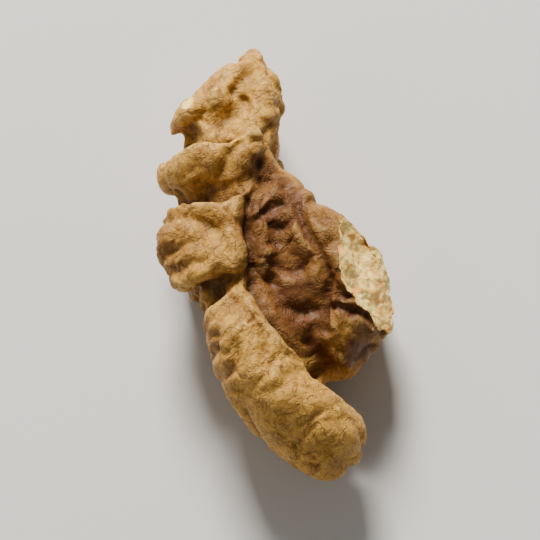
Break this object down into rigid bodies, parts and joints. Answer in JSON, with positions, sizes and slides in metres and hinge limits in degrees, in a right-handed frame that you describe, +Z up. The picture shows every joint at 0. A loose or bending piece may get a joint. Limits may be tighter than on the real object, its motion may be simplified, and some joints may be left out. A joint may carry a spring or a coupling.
{
  "type": "walnut kernel piece",
  "caption": "Chipped piece of a shelled walnut kernel, lying dome up: deep folds between rounded lobes, a pointed root tip and a pale broken face.",
  "frame": {"origin": "middle of the bottom of the kernel's box, on the surface that it lies on", "axes": "+Y along the kernel to its pointed root tip, +Z up through the domed side, +X to the chipped margin"},
  "size_m": [0.0158, 0.032, 0.0108],
  "materials": {
    "kernel_skin": "papery brown skin with a faint oily sheen, pale cream flesh where it is broken"
  },
  "bodies": {
    "root": {"kernel": "kernel_skin"}
  },
  "joints": []
}
